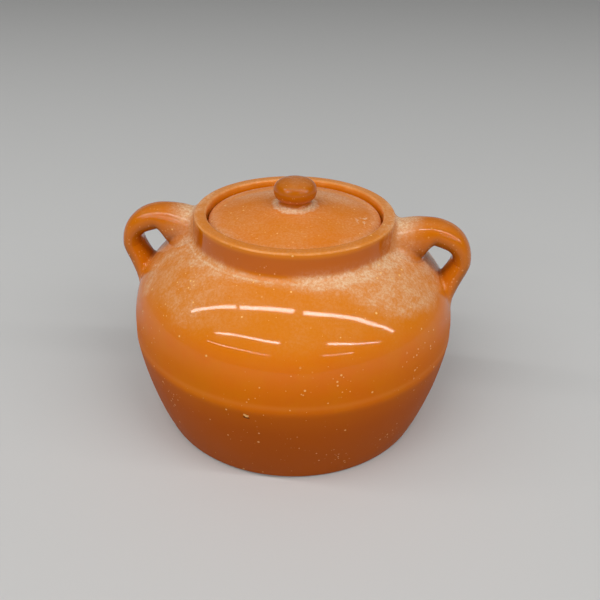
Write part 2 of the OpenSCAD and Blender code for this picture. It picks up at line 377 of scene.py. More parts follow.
def turned(name, outline, columns, rows_of_waves, even, level=True):
    """An outline turned round Z: (r cos a, r sin a, z), with r plus a sum of sines in a and z.
    even is a function of r and z that says how much of the unevenness a point takes, from 0 to 1.
    A shape that isn't level takes the lean of the mouth as well."""
    a = np.linspace(0, 2 * math.pi, columns, endpoint=False)[None, :]
    r, z = outline[1:-1, :1], outline[1:-1, 1:]
    along = unit(np.gradient(outline, axis=0)[1:-1])
    push = waves(a, z, rows_of_waves) * even(r, z)
    out_r = r + push * along[:, 1:]
    out_z = z - push * along[:, :1]
    rings = np.stack([out_r * np.cos(a), out_r * np.sin(a), out_z], -1)
    first = [0, 0, outline[0][1]]
    last = [0, 0, outline[-1][1]]
    return closed_grid(name, first, rings if level else tipped(rings), last)


# ---- The jar ----
def jar_even(r, z):
    """The jar's unevenness fades out over the lowest 25 mm and, from r 84 to 72 mm, at the collar."""
    return smoothstep(2 * MM, 25 * MM, z) * smoothstep(72 * MM, 84 * MM, r)


def make_jar():
    """The jar's section turned round Z, with its wall uneven and its mouth off level."""
    outline = finished(jar_outline(), 0.3 * MM, 0.6 * MM, 2.6 * MM, 0.5 * MM)
    return turned("jar", outline, JAR_COLUMNS, JAR_WAVES, jar_even, level=False)


# ---- Handles ----
def bezier(p, t):
    """Cubic curve through p[0] and p[3], pulled towards p[1] and p[2]."""
    t = np.asarray(t)[..., None]
    p = np.asarray(p)
    return (1 - t) ** 3 * p[0] + 3 * (1 - t) ** 2 * t * p[1] + 3 * (1 - t) * t ** 2 * p[2] + t ** 3 * p[3]


class JarSkin:
    """The jar's outside as the points nearest to it: how far each point stands off the turned
    outline, positive outside, and which way the outline faces there."""

    def __init__(self):
        line = np.concatenate([jar_outside(), [[MOUTH_R + RIM_ROUND_IN, RIM_TOP]]])
        self.line = thin_out(softened(line, 0.4 * MM, 1.0 * MM), 2.5 * MM, 0.8 * MM)
        self.step = np.diff(self.line, axis=0)
        self.face = face = unit(np.stack([self.step[:, 1], -self.step[:, 0]], 1))
        self.corner = unit(np.concatenate([face[:1], face[1:] + face[:-1], face[-1:]]))

    def near(self, points):
        """How far each point stands off the nearest step of the line, and the way the skin faces
        there, blended from one corner of the step to the other."""
        flat = points.reshape(-1, 3)
        radius = np.hypot(flat[:, 0], flat[:, 1])
        q = np.stack([radius, flat[:, 2]], 1)
        away = q[:, None, :] - self.line[None, :-1]
        t = np.clip((away * self.step).sum(-1) / (self.step ** 2).sum(1), 0, 1)
        left = away - t[..., None] * self.step
        size = np.linalg.norm(left, axis=-1)
        best = size.argmin(1)
        pick = np.arange(len(q))
        side = np.sign((left[pick, best] * self.face[best]).sum(-1))
        share = t[pick, best][:, None]
        way = unit(self.corner[best] * (1 - share) + self.corner[best + 1] * share)
        out = way[:, 0] / radius
        turned_way = np.stack([out * flat[:, 0], out * flat[:, 1], way[:, 1]], 1)
        return (size[pick, best] * side).reshape(points.shape[:-1]), turned_way.reshape(points.shape)

    def land(self, points, above=0.0):
        """The points moved square to the skin until they stand above it by that much."""
        for _ in range(2):
            distance, way = self.near(points)
            points = points - way * (distance - above)[..., None]
        return points

    def radius(self, z):
        """The jar's radius at a height below the collar."""
        side = self.line[self.line[:, 1] < POT_H - COLLAR_H]
        return float(np.interp(z, side[:, 1], side[:, 0]))

    def follow(self, points):
        """Points near the jar take its hand-made unevenness, which fades out 8 mm off its skin."""
        distance, way = self.near(points)
        a = np.arctan2(points[..., 1], points[..., 0])
        r, z = np.hypot(points[..., 0], points[..., 1]), points[..., 2]
        push = waves(a, z, JAR_WAVES) * jar_even(r, z) * (1 - smoothstep(0, 8 * MM, distance))
        return points + way * push[..., None]


class Strap:
    """A strap of clay whose outer face follows two cubic curves, from the collar (s = 0) over the
    bend (s = 1) into the belly (s = 2), with an oval section that changes along it."""

    def __init__(self, skin):
        root = np.array([COLLAR_R - ROOT_SINK, POT_H - ROOT_DROP])
        bend = np.array([HANDLE_REACH, POT_H - BEND_DROP])
        foot_z = POT_H - FOOT_DROP
        foot = np.array([skin.radius(foot_z) - FOOT_SINK, foot_z])
        fall = bend[1] - foot[1]
        reach = bend[0] - root[0]
        inward = FOOT_PULL[0] * (bend[0] - foot[0])
        self.upper = [root, root + [ROOT_PULL * reach, ARCH], bend + [0, CORNER], bend]
        self.lower = [bend, bend - [0, BEND_PULL * fall], foot + [inward, FOOT_PULL[1] * fall], foot]

    def face(self, s):
        """Outer face of the strap at s, as (r, z)."""
        s = np.asarray(s, float)
        up = bezier(self.upper, np.minimum(s, 1))
        down = bezier(self.lower, np.clip(s - 1, 0, 1))
        return np.where((s <= 1)[..., None], up, down)

    def normal(self, s, step=0.01):
        """The way the outer face looks: its direction from s - step to s + step, turned left."""
        ahead = self.face(np.minimum(s + step, 2)) - self.face(s - step)
        return unit(np.stack([-ahead[..., 1], ahead[..., 0]], -1))

    def half_t(self, s):
        """Half the thickness, which falls from the root over the crown and grows again at the foot."""
        return 0.5 * (STRAP_T + (ROOT_T - CROWN_T) * (1 - smoothstep(*ROOT_THINS, s))
                      + (CROWN_T - STRAP_T) * (1 - smoothstep(*CROWN_THINS, s))
                      + (FOOT_T - STRAP_T) * smoothstep(*FOOT_THICKENS, s))

    def half_w(self, s):
        """Half the width, which flares at both ends."""
        return 0.5 * (STRAP_W + STRAP_FLARE * (1 - smoothstep(*ROOT_NARROWS, s))
                      + STRAP_FLARE * smoothstep(*FOOT_WIDENS, s))

    def point(self, s, a):
        """The section at s: half_t cos^(2/p) a along the normal, half_w sin^(2/p) a across."""
        cos, sin = np.cos(a), np.sin(a)
        up = (np.sign(cos) * np.abs(cos) ** (2 / STRAP_POWER) - 1) * self.half_t(s)
        across = np.sign(sin) * np.abs(sin) ** (2 / STRAP_POWER) * self.half_w(s)
        middle = self.face(s) + up[..., None] * self.normal(s)
        return np.stack([middle[..., 0], across, middle[..., 1]], -1)

    def middle(self, s):
        """Middle of the section at s."""
        inner = self.face(s) - self.half_t(s)[..., None] * self.normal(s)
        return np.stack([inner[..., 0], 0 * inner[..., 0], inner[..., 1]], -1)


def first_out(distance, places):
    """Place on each line where the jar's distance first turns positive."""
    i = np.argmax(distance > 0, axis=0)
    pick = np.arange(distance.shape[1])
    before, after = distance[i - 1, pick], distance[i, pick]
    return places[i - 1] + (places[i] - places[i - 1]) * before / (before - after)


def around(lengths, a):
    """A length for each angle of the strap's section, blended between those for its top, its sides
    and its underside by the square of the cosine."""
    top, side, under = lengths
    up = np.cos(a)
    return side + (np.where(up > 0, top, under) - side) * up ** 2


def fillet(edge, start, heading, length, skin, outward):
    """Rows from the strap to the jar: a cubic curve that leaves start along heading and meets the
    jar at length beyond the edge, level with it. Then come rows that dive under the jar's skin."""
    normal = skin.near(edge)[1]
    along = np.roll(edge, -1, 0) - np.roll(edge, 1, 0)
    out = unit(np.cross(normal, along))
    out *= np.sign((out * outward).sum(-1, keepdims=True))
    for _ in range(8):
        out = unit(out + 0.5 * (np.roll(out, 1, 0) + np.roll(out, -1, 0)))
    landing = skin.land(edge + out * length[:, None])
    facing = skin.near(landing)[1]
    level = unit(out - facing * (out * facing).sum(-1, keepdims=True))
    first = start + heading * FILLET_PULL * np.linalg.norm(edge - start, axis=-1, keepdims=True)
    last = landing - level * FILLET_PULL * np.linalg.norm(edge - landing, axis=-1, keepdims=True)
    places = np.linspace(0, 1, FILLET_ROWS + 1)[1:, None]
    rows = bezier([start, first, last, landing], places)
    tails = [skin.land(landing + level * step, -sink) for step, sink in TAILS]
    inside = skin.land(edge, -ANCHOR_DEPTH)
    return np.concatenate([rows, tails, [inside]])


def handle_rings():
    """Rings of points from inside the collar's wall to inside the belly's: along each angle of the
    section a line runs from where it leaves the jar to where it enters it again."""
    skin = JarSkin()
    strap = Strap(skin)
    a = np.linspace(0, 2 * math.pi, HANDLE_COLUMNS, endpoint=False)
    places = np.linspace(*STRAP_SPAN, STRAP_SAMPLES)
    lines = strap.point(places[:, None] + 0 * a, a + 0 * places[:, None])
    distance = skin.near(lines)[0]
    leave = first_out(distance, places)
    enter = first_out(distance[::-1], places[::-1])
    steps = np.linalg.norm(np.diff(lines, axis=0), axis=-1)
    travelled = np.concatenate([0 * steps[:1], np.cumsum(steps, 0)])

    def walk(column, place, length):
        """Place that lies length further along one line."""
        at = np.interp(place, places, travelled[:, column])
        return np.interp(at + length, travelled[:, column], places)

    top_length = around(ROOT_ON_STRAP, a)
    low_length = around(FOOT_ON_STRAP, a)
    begin = np.array([walk(k, leave[k], top_length[k]) for k in range(HANDLE_COLUMNS)])
    end = np.array([walk(k, enter[k], -low_length[k]) for k in range(HANDLE_COLUMNS)])
    s = begin + (end - begin) * np.linspace(0, 1, HANDLE_ROWS)[:, None]
    body = strap.point(s, a + 0 * s)
    edge_top, edge_low = strap.point(leave, a), strap.point(enter, a)
    back = strap.point(begin - 0.01, a)
    ahead = strap.point(end + 0.01, a)
    top = fillet(edge_top, body[0], unit(back - body[0]), around(ROOT_ON_JAR, a), skin,
                 edge_top - strap.middle(leave))
    low = fillet(edge_low, body[-1], unit(ahead - body[-1]), around(FOOT_ON_JAR, a), skin,
                 edge_low - strap.middle(enter))
    return tipped(skin.follow(np.concatenate([top[::-1], body, low])))


def make_handle(name, rings, side):
    """One handle from its rings, with x times side: 1 is the right one and -1 its mirror image."""
    rings = rings * [side, 1, 1]
    return closed_grid(name, rings[0].mean(0), rings, rings[-1].mean(0))


# ---- Lid and knob ----
def dome(r):
    """Top of the lid at radius r: its edge plus the rise times 1 - q^2, with q from 0 at the axis
    to 1 at the edge's rounding."""
    return LEDGE_Z + LID_EDGE_T + LID_RISE * (1 - (r / (LID_R - LID_ROUND)) ** 2)


def make_lid():
    """The lid from the middle of its underside: the hollow, the ring, the edge and the dome, which
    ends under the knob."""
    edge_in = LID_R - LID_ROUND
    hollow_r = LID_RING_R - LID_RING_W
    r = np.linspace(0, hollow_r, 24)
    under = np.stack([r, np.minimum(KNOB_Z, dome(r)) - LID_T], 1)
    ring = np.concatenate([
        arc([hollow_r + LID_ROUND, LID_LOW.z + LID_ROUND], LID_ROUND, math.pi, 1.5 * math.pi, 8),
        arc([LID_RING_R - LID_ROUND, LID_LOW.z + LID_ROUND], LID_ROUND, -math.pi / 2, 0, 8),
        [[LID_RING_R, LEDGE_Z]],
    ])
    edge = np.concatenate([
        arc([edge_in, LEDGE_Z + LID_ROUND], LID_ROUND, -math.pi / 2, 0, 8),
        arc([edge_in, LEDGE_Z + LID_EDGE_T - LID_ROUND], LID_ROUND, 0, math.pi / 2, 8),
    ])
    r = np.linspace(edge_in, KNOB_NECK_R, 60)[1:]
    top = np.stack([r, dome(r)], 1)
    outline = np.concatenate([under, ring, edge, top, [[0, KNOB_Z]]])
    outline = finished(outline, 0.3 * MM, 0.6 * MM, 1.6 * MM, 0.5 * MM)
    return turned("lid", outline, LID_COLUMNS, LID_WAVES,
                  lambda r, z: smoothstep(LEDGE_Z, LEDGE_Z + 4 * MM, z))


def make_knob():
    """A flattened ball on a short neck, whose foot spreads over the lid in a small fillet. Its upper
    half is (R cos^(2/p) a, h sin^(2/p) a), a little fuller than an ellipse, and its lower half is an
    ellipse that runs on a little way past the neck's radius."""
    ball_top = KNOB_HIGH.z - KNOB_Z - KNOB_MID_H
    past_neck = 0.12
    a = np.linspace(-math.acos(KNOB_NECK_R / KNOB_R) - past_neck, math.pi / 2, 60)[:, None]
    full = np.where(a > 0, 2 / KNOB_POWER, 1)
    rise = ball_top * np.sign(a) * np.abs(np.sin(a)) ** full
    ball = np.hstack([KNOB_R * np.abs(np.cos(a)) ** full, KNOB_Z + KNOB_MID_H + rise])
    waist = [KNOB_NECK_R - 0.2 * MM, ball[0][1] - 1.0 * MM]
    spread = arc([KNOB_NECK_R + KNOB_SKIRT, KNOB_Z + KNOB_SKIRT - KNOB_SKIRT_SUNK], KNOB_SKIRT,
                 1.5 * math.pi, math.pi, 10)
    low = KNOB_Z - KNOB_SUNK
    outline = np.concatenate([
        [[0, low], [KNOB_NECK_R + 2 * KNOB_SKIRT, low]], spread, [waist], ball,
    ])
    outline = finished(outline, 0.25 * MM, 0.5 * MM, 0.9 * MM, 0.4 * MM)
    return turned("knob", outline, KNOB_COLUMNS, LID_WAVES, lambda r, z: 0 * r + 0.6)


# ---- Shader language ----
class Wire:
    """A number or a vector on its way through a node tree. Operators on numbers add Math nodes."""

    def __init__(self, tree, socket):
        self.tree = tree
        self.socket = socket

    def _math(self, operation, *values):
        return self.tree.node("ShaderNodeMath", {"operation": operation}, list(values))

    def __add__(self, other):
        return self._math("ADD", self, other)

    def __sub__(self, other):
        return self._math("SUBTRACT", self, other)

    def __rsub__(self, other):
        return self._math("SUBTRACT", other, self)

    def __mul__(self, other):
        return self._math("MULTIPLY", self, other)

    def __truediv__(self, other):
        return self._math("DIVIDE", self, other)

    def __pow__(self, other):
        return self._math("POWER", self, other)

    def __neg__(self):
        return self._math("MULTIPLY", self, -1.0)

    def __abs__(self):
        return self._math("ABSOLUTE", self)

    def most(self, other):
        return self._math("MAXIMUM", self, other)

    def least(self, other):
        return self._math("MINIMUM", self, other)

    def angle(self, other):
        """Angle of the point (other, this) round the origin, in radians."""
        return self._math("ARCTAN2", self, other)

    __radd__ = __add__
    __rmul__ = __mul__


class Tree:
    """A node tree, and one method that adds each of its nodes."""

    def __init__(self, owner):
        """owner is a material or a world."""
        owner.use_nodes = True
        self.owner = owner
        self.nodes = owner.node_tree.nodes
        self.links = owner.node_tree.links
        self.nodes.clear()

    def node(self, kind, settings=None, inputs=None, output=0):
        """One node: its settings first, then its sockets, by place or by name, as values or links."""
        made = self.nodes.new(kind)
        for key, value in (settings or {}).items():
            setattr(made, key, value)
        pairs = enumerate(inputs) if isinstance(inputs, list) else (inputs or {}).items()
        for key, value in pairs:
            if isinstance(value, Wire):
                self.links.new(value.socket, made.inputs[key])
            else:
                made.inputs[key].default_value = value
        return Wire(self, made.outputs[output]) if made.outputs else None

    def place(self):
        """The object's own coordinates, and their three parts."""
        where = self.node("ShaderNodeTexCoord", output="Object")
        parts = self.node("ShaderNodeSeparateXYZ", None, {"Vector": where}).socket.node
        return where, [Wire(self, out) for out in parts.outputs]

    def facing_up(self):
        """How far the surface faces up, from -1 to 1, in the object's own frame."""
        normal = self.node("ShaderNodeTexCoord", output="Normal")
        return self.node("ShaderNodeSeparateXYZ", None, {"Vector": normal}, "Z")

    def ramp(self, x, low, high):
        """0 where x is below low, 1 above high, and a smooth step between them."""
        return self.node("ShaderNodeMapRange", {"interpolation_type": "SMOOTHSTEP"},
                         {"Value": x, "From Min": low, "From Max": high})

    def blend(self, amount, a, b):
        """Colour a where amount is 0 and colour b where it is 1."""
        return self.node("ShaderNodeMix", {"data_type": "RGBA"}, {0: amount, 6: a, 7: b}, 2)

    def noise(self, where, scale, detail=3.0, rough=0.5, seed=0.0):
        """Noise from 0 to 1, with scale waves a metre. The seed is how far off it is read, in metres."""
        moved = self.node("ShaderNodeMapping", None,
                          {"Vector": where, "Location": (seed, seed / 2, -seed)})
        return self.node("ShaderNodeTexNoise", None,
                         {"Vector": moved, "Scale": scale, "Detail": detail, "Roughness": rough})

    def specks(self, where, gap, radius, share):
        """Round spots: one in each cell about gap across, of at most that radius, in that share of
        the cells. Each cell's own random number picks it and sets its size."""
        spot = self.node("ShaderNodeTexVoronoi", None, {"Vector": where, "Scale": 1 / gap})
        made = spot.socket.node
        random = Wire(self, made.outputs["Color"])
        luck = self.node("ShaderNodeSeparateColor", None, {"Color": random}).socket.node
        picked = self.ramp(Wire(self, luck.outputs[0]), 1 - share - 0.01, 1 - share)
        size = Wire(self, luck.outputs[1]) * 0.6 + 0.4
        away = Wire(self, made.outputs["Distance"]) * (gap / radius) / size
        return (1 - self.ramp(away, 0.6, 1.15)) * picked

    def stroke(self, where, start, end, radius, core=0.8, fade=1.3):
        """1 along the straight line from start to end, out to core times the radius from it, and
        gone by fade times the radius. Both ends and the radius are in millimetres."""
        start, end, radius = np.array(start) * MM, np.array(end) * MM, radius * MM
        line = end - start
        off = self.node("ShaderNodeVectorMath", {"operation": "SUBTRACT"}, [where, tuple(start)])
        dot = self.node("ShaderNodeVectorMath", {"operation": "DOT_PRODUCT"}, [off, tuple(line)], "Value")
        along = (dot / float(line @ line)).most(0.0).least(1.0)
        foot = self.node("ShaderNodeVectorMath", {"operation": "SCALE"}, {0: tuple(line), "Scale": along})
        left = self.node("ShaderNodeVectorMath", {"operation": "SUBTRACT"}, [off, foot])
        distance = self.node("ShaderNodeVectorMath", {"operation": "LENGTH"}, [left], "Value")
        return 1 - self.ramp(distance, core * radius, fade * radius)

    def spot(self, where, center, low, high, wobble):
        """1 within low of the centre and 0 from high on, all in millimetres. The wobble, in metres,
        is added to the distance."""
        center = tuple(c * MM for c in center)
        away = self.node("ShaderNodeVectorMath", {"operation": "DISTANCE"}, [where, center], "Value")
        return 1 - self.ramp(away + wobble, low * MM, high * MM)


def linear(red, green, blue):
    """A colour written as 0 to 255 on a screen, as a linear colour."""
    def one(c):
        c /= 255
        return c / 12.92 if c <= 0.04045 else ((c + 0.055) / 1.055) ** 2.4
    return (one(red), one(green), one(blue), 1.0)


# ---- Glaze and dust ----
GLAZE = linear(230, 117, 0)
GLAZE_WARM = linear(226, 112, 8)
GLAZE_GOLD = linear(228, 127, 0)
GLAZE_HIGH = linear(222, 128, 8)
# Deeper glaze, which below the ring also carries painted shade
DEEP_GLAZE_AND_SHADE = linear(194, 89, 0)
# Brown glaze; on the handles' undersides it also serves as painted shade
BROWN_GLAZE_AND_SHADE = linear(164, 90, 2)
# Pale colour for the line along the ring and for the painted highlight on the rim
PALE_EDGE_AND_HIGHLIGHT = linear(255, 178, 100)
DUST = linear(238, 208, 170)
CREAM = linear(255, 206, 126)
# Colour of the painted shadow under the chip
CHIP_SHADE = linear(84, 36, 2)
BARE_CLAY = linear(184, 158, 128)
# How rough the body is, what dust and bare clay add to that, and the coat over it
GLAZE_ROUGH = 0.3
DUST_ROUGH = 0.38
BARE_ROUGH = 0.5
COAT = 0.85
COAT_ROUGH = 0.065
COAT_IOR = 1.46
# The glaze turns from dull to glossy between these heights
DULL_Z = 84 * MM
GLOSSY_Z = 106 * MM


def glaze_color(t, where):
    """Orange glaze that drifts between a redder and a yellower tone."""
    drift = t.ramp(t.noise(where, 11, 3, 0.5), 0.32, 0.68)
    cloud = t.ramp(t.noise(where, 42, 4, 0.6, 0.37), 0.35, 0.7)
    color = t.blend(drift * 0.8, GLAZE, GLAZE_WARM)
    return t.blend(cloud * 0.45, color, GLAZE_GOLD)


# Where the grit in the jar's glaze lies thick, as centres in millimetres
CLUSTERS = [
    (-83, -73, 110), (-64, -63, 132), (-92, -71, 92), (-73, -90, 54), (-9, -118, 73), (16, -115, 93),
    (44, -108, 93), (86, -79, 90), (98, -60, 99), (74, -80, 26), (30, -106, 29), (17, -112, 44),
    (41, -98, 17), (62, -48, 139), (-12, -75, 140),
]


def finish_glaze(t, where, color, dust, gloss, bare=None, cluster=0.3):
    """The shader: a glossy coat over a satin body. Dust pales it and dulls the coat, grit shows as
    cream dots, thicker where cluster is 1, and the coat has the shallow dimples of a fired glaze.
    gloss is a share of the full coat, and bare is where the clay has no glaze."""
    grit = t.specks(where, 7 * MM, 0.95 * MM, 0.4) + t.specks(where, 2.4 * MM, 0.32 * MM, 0.2)
    grit = (grit + t.specks(where, 3.2 * MM, 0.8 * MM, 0.8) * cluster).least(1.0)
    powder = t.ramp(t.noise(where, 560, 4, 0.75, 0.11), 0.4, 0.62)
    film = (dust * (0.45 + powder * 0.55)).least(1.0)
    color = t.blend(film, color, DUST)
    color = t.blend(grit * 0.85, color, CREAM)
    rough = GLAZE_ROUGH + film * DUST_ROUGH
    coat = (1 - film * 0.85) * (COAT * gloss)
    if bare is not None:
        color = t.blend(bare, color, BARE_CLAY)
        rough = rough + bare * BARE_ROUGH
        coat = coat * (1 - bare)
    dimples = t.noise(where, 150, 2, 0.5, 0.21) * 0.4 + t.noise(where, 60, 2, 0.4, 0.51) * 0.8
    height = dimples + film * powder * 0.8 + grit * 1.2
    bump = t.node("ShaderNodeBump", None, {"Strength": 0.3, "Distance": 0.1 * MM, "Height": height})
    shader = t.node("ShaderNodeBsdfPrincipled", None, {
        "Base Color": color, "Roughness": rough, "Normal": bump, "Specular IOR Level": 0.0,
        "Coat Weight": coat, "Coat Roughness": COAT_ROUGH, "Coat IOR": COAT_IOR,
    })
    t.node("ShaderNodeOutputMaterial", None, {"Surface": shader})
    return t.owner


# Where dust has gathered beside the handles, in millimetres: start, end and half width
DRIFTS = [
    ((-68.8, -32.9, 140.4), (-83.3, -28.2, 133.2), 4.5),
    ((-83.3, -28.2, 133.2), (-95.5, -31.5, 122.2), 3.5),
    ((-95.5, -31.5, 122.2), (-98.5, -46.2, 112.3), 4.0),
    ((-63.6, -48.9, 138.2), (-51.9, -58.3, 139.5), 3.0),
    ((78.7, -26.0, 136.6), (69.8, -42.9, 137.2), 4.0),
]

# The pale broken face of a chip and small runs of cream slip, in millimetres: start, end and half
# width. Below them, the painted shadow just under the chip, given the same way.
DRIBBLES = [
    ((-17.9, -116.0, 67.2), (-16.2, -116.3, 66.2), 0.75),
    ((-16.9, -116.2, 65.8), (-15.6, -116.4, 66.6), 0.55),
    ((28.7, -69.9, 139.9), (30.2, -71.2, 138.4), 0.5),
    ((30.2, -71.2, 138.4), (30.8, -73.6, 136.6), 0.6),
    ((30.2, -71.2, 138.4), (31.9, -69.6, 139.4), 0.4),
    ((89.7, -6.4, 128.9), (91.8, -12.8, 126.8), 0.6),
]
CHIP_PAINTED_SHADOW = (-18.3, -115.9, 65.2), (-15.2, -116.4, 64.4), 0.6

# Under each handle's root, in millimetres: start, end and half width of a dusty crease, for x > 0
CREASE = (86, -11, 134), (86, 11, 134), 3.5


def jar_tones(t, where, r, z, ragged):
    """Glaze that is deeper below the ring and more so towards the foot, partly its own deeper tone and
    partly painted shade; a pale line along the ring, yellower high on the shoulder and deeper again
    on the collar."""
    color = glaze_color(t, where)
    step = z + ragged * (3 * MM)
    # Below the ring: partly the glaze's deeper tone, partly painted shade, fullest towards the foot
    below = 1 - t.ramp(step, RING_H - 4.5 * MM, RING_H + 3 * MM) * 0.72
    below = below - t.ramp(step, 48 * MM, 70 * MM) * 0.28
    color = t.blend(below, color, DEEP_GLAZE_AND_SHADE)
    ridge = 1 - t.ramp(abs(z - (RING_H + 4.5 * MM)), 0, 3 * MM)
    color = t.blend(ridge * 0.09, color, PALE_EDGE_AND_HIGHLIGHT)
    color = t.blend(t.ramp(z + ragged * (9 * MM), 96 * MM, 122 * MM) * 0.75, color, GLAZE_HIGH)
    collar = t.ramp(z, POT_H - COLLAR_H - 1 * MM, POT_H - COLLAR_H + 4 * MM)
    collar = collar * (1 - t.ramp(z, RIM_TOP - 4 * MM, RIM_TOP - 1 * MM)) * t.ramp(r, 70 * MM, 71 * MM)
    return t.blend(collar * 0.7, color, DEEP_GLAZE_AND_SHADE)


def rim_painted_highlight(t, where, r, lip):
    """A painted highlight along the rim's outer rounding and, at half strength, its inner one. lip is
    the height over the middle of those roundings."""
    across = r - (COLLAR_R - RIM_LEAN - RIM_ROUND)
    outer = (lip ** 2.0 + across ** 2.0) ** 0.5 * t.ramp(lip, -0.5 * MM, 0.5 * MM)
    outer = t.ramp(outer * t.ramp(r, COLLAR_R - 2.4 * MM, COLLAR_R - 1.8 * MM), 1.4 * MM, 1.8 * MM)
    inner = t.ramp(MOUTH_R + RIM_ROUND_IN - r, -0.2 * MM, 0.6 * MM) * t.ramp(lip, -3 * MM, 0)
    # The painted highlight comes and goes in patches
    highlight_patches = t.ramp(t.noise(where, 60, 4, 0.6, 0.93), 0.35, 0.65) * 0.6 + 0.15
    return (outer + inner * 0.5).least(1.0) * highlight_patches


def jar_dust_and_highlight(t, place, r, lip, ragged):
    """Dust, and one painted highlight: a ring of dust in the corner under the collar, and a thread there
    that is partly dust and partly a painted highlight along the fillet; a tongue down the right
    shoulder and a drift down the left, the creases and runs beside the handles, and a film on what
    faces up.
    turn is the angle round the pot, in degrees, -90 in front, and is the same behind."""
    where, (x, y, z) = place
    turn = (-abs(y)).angle(x) * (180 / math.pi)
    front = 1 - t.ramp(y, -5 * MM, 25 * MM)
    right = t.ramp(turn, -92, -72)
    left = 1 - t.ramp(turn, -126, -102)
    sides = (left + right).least(1.0)
    patchy = t.ramp(t.noise(where, 130, 4, 0.68, 0.29), 0.35, 0.62)

    corner = ((r - 75 * MM) ** 2.0 + (z - 140 * MM) ** 2.0) ** 0.5
    reach = 4 * MM + sides * (5 * MM)
    ring = 1 - t.ramp((corner + ragged * (7 * MM)) / reach, 0.3, 1.0)
    # A thin pale line along the collar's fillet: partly dust, partly painted highlight
    dust_and_highlight_thread = 1 - t.ramp(abs(r - 75.4 * MM + ragged * (0.8 * MM)), 0.3 * MM, 1.0 * MM)
    edge = 136 * MM - t.ramp(turn, -68, -34) * (25 * MM)
    tongue = t.ramp(z - edge + ragged * (16 * MM), 0, 8 * MM) * right
    drift = t.ramp(z - 112 * MM + ragged * (24 * MM), 0, 10 * MM) * left
    dust = ring * (0.12 + patchy * 0.22 + right * 0.16 + left * 0.04) + dust_and_highlight_thread * (0.2 + patchy * 0.3)
    dust = dust + tongue * (0.18 + patchy * 0.34) + drift * (0.06 + patchy * 0.22)

    pair = t.node("ShaderNodeCombineXYZ", None, [abs(x), y, z])
    dust = (dust * (0.55 + front * 0.45)).most(t.stroke(pair, *CREASE) * 0.6)
    dust = dust * t.ramp(r, 71.5 * MM, 73 * MM)
    for run in DRIFTS:
        dust = dust.most(t.stroke(where, *run, core=0, fade=2.4) * (0.2 + patchy * 0.4))
    beside = t.ramp(abs(x) + ragged * (10 * MM), 58 * MM, 70 * MM) * t.ramp(z, 128 * MM, 138 * MM)
    dust = dust.most(beside * (0.1 + patchy * 0.34))
    film = t.ramp(t.facing_up(), 0.25, 0.9) * (0.06 + t.ramp(ragged, -0.1, 0.2) * 0.1)
    top = t.ramp(lip, 0, 1.5 * MM) * (0.06 + (1 - front) * 0.14)
    return (dust + film + top).least(0.85)


def jar_glaze():
    """The jar: its tones, a painted highlight on the rim, a chip with a painted shadow under it, runs
    of slip, dust with a painted highlight line on the fillet, grit in clusters and a bare foot, and
    less gloss below the belly."""
    t = Tree(bpy.data.materials.new("jar_glaze"))
    place = where, (x, y, z) = t.place()
    r = (x * x + y * y) ** 0.5
    lip = z + y * MOUTH_TIP - (RIM_TOP - RIM_ROUND)
    ragged = t.noise(where, 34, 5, 0.62, 0.07) - 0.5
    color = jar_tones(t, where, r, z, ragged)
    # Painted highlight along the rim's roundings
    color = t.blend(rim_painted_highlight(t, where, r, lip), color, PALE_EDGE_AND_HIGHLIGHT)
    # Painted shadow just under the chip
    color = t.blend(t.stroke(where, *CHIP_PAINTED_SHADOW) * 0.8, color, CHIP_SHADE)
    wobble = ragged * (8 * MM)
    marks = cluster = 0.0
    for run in DRIBBLES:
        marks = t.stroke(where, *run).most(marks)
    for center in CLUSTERS:
        cluster = t.spot(where, center, 6, 13, wobble).most(cluster)
    color = t.blend(marks * 0.9, color, CREAM)
    # Dust, with the painted highlight line along the fillet
    dust = jar_dust_and_highlight(t, place, r, lip, ragged) * (1 - marks)
    bare = 1 - t.ramp(z + ragged * (1.2 * MM), 0.5 * MM, 1.6 * MM)
    gloss = 0.25 + t.ramp(z, DULL_Z, GLOSSY_Z) * 0.75
    return finish_glaze(t, where, color, dust, gloss, bare, cluster)


def handle_glaze():
    """The handles: browner glaze with painted shade on what faces down, a thin film of dust on top,
    and more dust at their roots.
    """
    t = Tree(bpy.data.materials.new("handle_glaze"))
    where, (x, y, z) = t.place()
    up = t.facing_up()
    color = t.blend(0.4, glaze_color(t, where), GLAZE_GOLD)
    # A brown tone everywhere, plus painted shade where the strap faces down
    brown_and_painted_shade = (0.35 + (1 - t.ramp(up, -0.6, 0.2)) * 0.55) * t.ramp(z, 90 * MM, 112 * MM)
    color = t.blend(brown_and_painted_shade, color, BROWN_GLAZE_AND_SHADE)
    ragged = t.noise(where, 60, 5, 0.62, 0.07) - 0.5
    high = t.ramp(up, 0.45, 0.95)
    near = 1 - t.ramp(abs(x) + ragged * (20 * MM), 76 * MM, 94 * MM)
    dust = high * (0.04 + t.ramp(ragged, -0.1, 0.25) * 0.1) + near * (0.3 + high * 0.5)
    gloss = 0.3 + t.ramp(z, DULL_Z, GLOSSY_Z) * 0.85
    return finish_glaze(t, where, color, dust, gloss)


